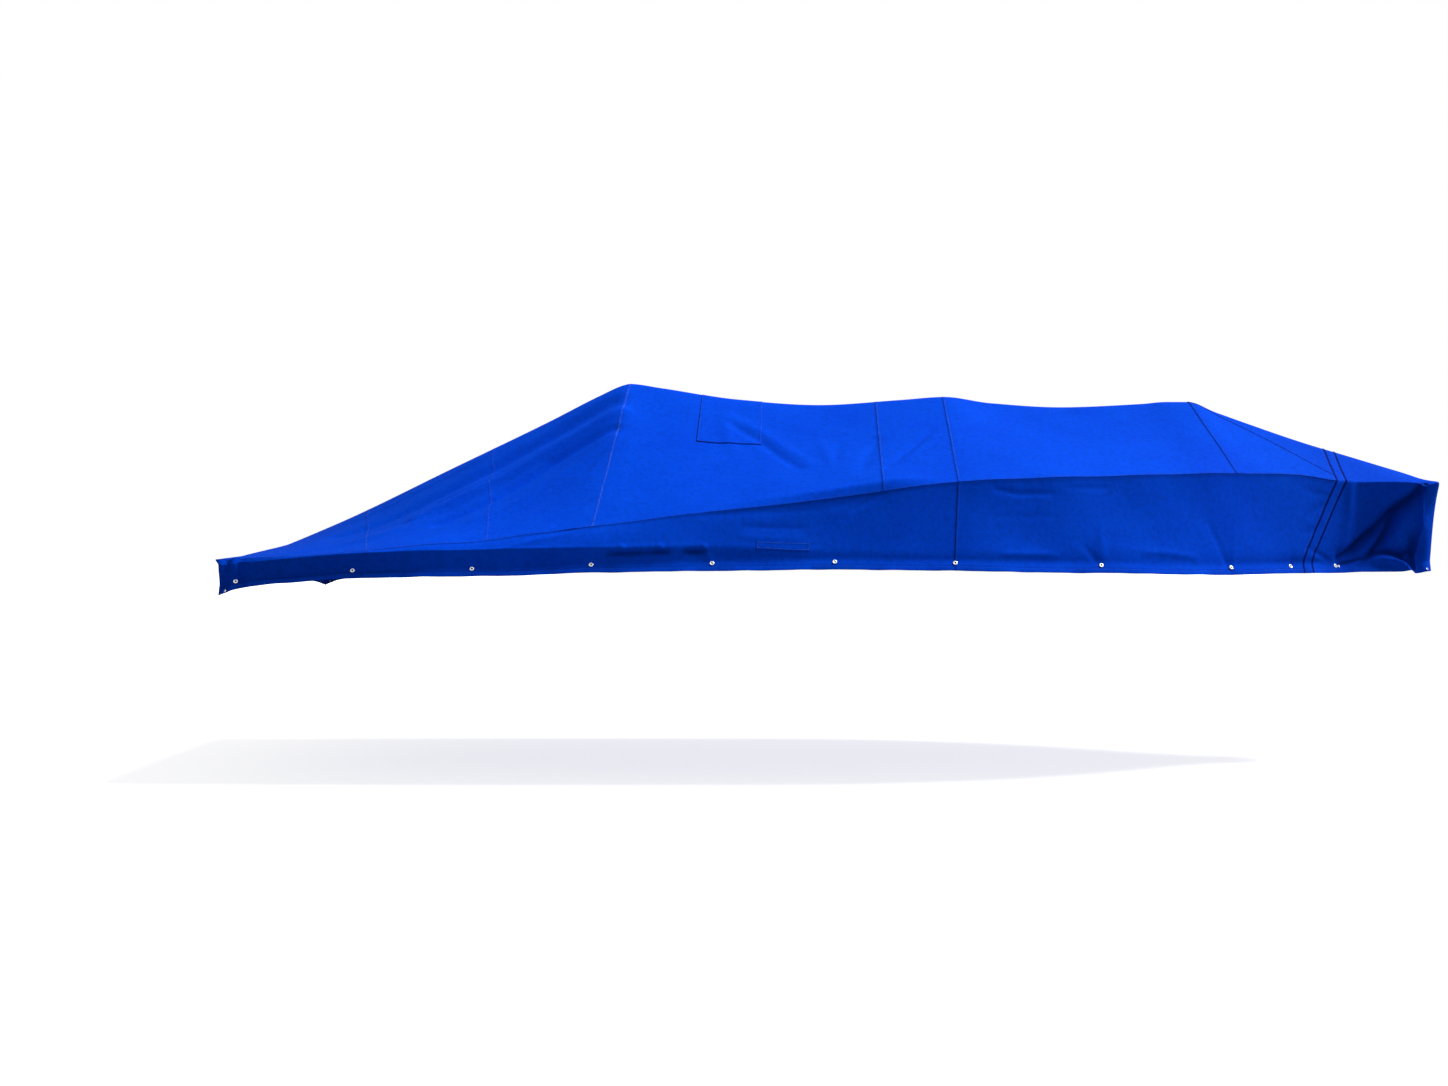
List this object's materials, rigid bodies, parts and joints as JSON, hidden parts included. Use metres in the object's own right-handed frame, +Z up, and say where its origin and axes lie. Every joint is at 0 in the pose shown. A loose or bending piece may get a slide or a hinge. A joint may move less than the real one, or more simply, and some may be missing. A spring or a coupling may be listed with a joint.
{
  "type": "fitted boat cover",
  "caption": "Fitted hollow cover of blue canvas for an open boat, with a tent-like peaked top, steep snapped sides, dark binding tapes and a boxy bow end.",
  "frame": {"origin": "underside of the cloth at the aft peak, where a support bears", "axes": "+X to the bow end, +Z up, -Y to starboard"},
  "size_m": [6.8199, 2.521, 1.2205],
  "materials": {
    "canvas": "matt woven acrylic canvas, royal blue",
    "binding": "matt woven binding tape, navy",
    "snap": "bright nickel-plated snap fastener"
  },
  "bodies": {
    "root": {"stern_top": "canvas", "aft_top_low": "canvas", "aft_top_high": "canvas", "mid_top": "canvas", "insert_top": "canvas", "fore_top": "canvas", "foredeck": "canvas", "gusset_stbd": "canvas", "gusset_port": "canvas", "band": "canvas", "nose": "canvas", "side_aft_stbd": "canvas", "side_aft_port": "canvas", "side_fore_stbd": "canvas", "side_fore_port": "canvas", "stern_end": "canvas", "patch_upper": "canvas", "patch_lower": "canvas", "binding_aft": "binding", "binding_fore": "binding", "snap_stbd_01": "snap", "snap_stbd_02": "snap", "snap_stbd_03": "snap", "snap_stbd_04": "snap", "snap_stbd_05": "snap", "snap_stbd_06": "snap", "snap_stbd_07": "snap", "snap_stbd_08": "snap", "snap_stbd_09": "snap", "snap_stbd_10": "snap", "snap_stbd_11": "snap", "snap_stbd_12": "snap", "snap_stbd_13": "snap", "snap_stbd_14": "snap", "snap_port_01": "snap", "snap_port_02": "snap", "snap_port_03": "snap", "snap_port_04": "snap", "snap_port_05": "snap", "snap_port_06": "snap", "snap_port_07": "snap", "snap_port_08": "snap", "snap_port_09": "snap", "snap_port_10": "snap", "snap_port_11": "snap", "snap_port_12": "snap", "snap_port_13": "snap", "snap_port_14": "snap"}
  },
  "joints": []
}
